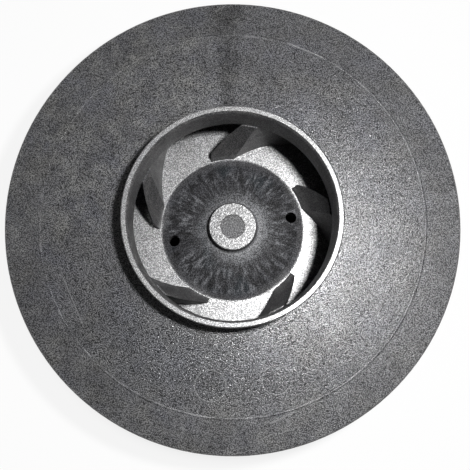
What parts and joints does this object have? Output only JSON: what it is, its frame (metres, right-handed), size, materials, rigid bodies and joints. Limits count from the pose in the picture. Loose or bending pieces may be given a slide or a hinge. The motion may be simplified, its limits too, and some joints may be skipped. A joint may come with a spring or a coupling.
{
  "type": "pump impeller",
  "caption": "Closed centrifugal pump impeller moulded in dark grey glass-filled plastic, with a raised inlet ring, swept-back vanes, a domed hub and a metal shaft bush.",
  "frame": {"origin": "on the rotor axis, in the end face of the rear hub", "axes": "+Z along the rotor axis, towards the eye. The two mould dials on the front shroud lie towards -Y."},
  "size_m": [0.129, 0.129, 0.0468],
  "materials": {
    "moulding": "spark-eroded grain",
    "bush": "turned"
  },
  "bodies": {
    "root": {"front_shroud": "moulding", "vane_disc": "moulding", "shaft_insert": "bush"}
  },
  "joints": []
}
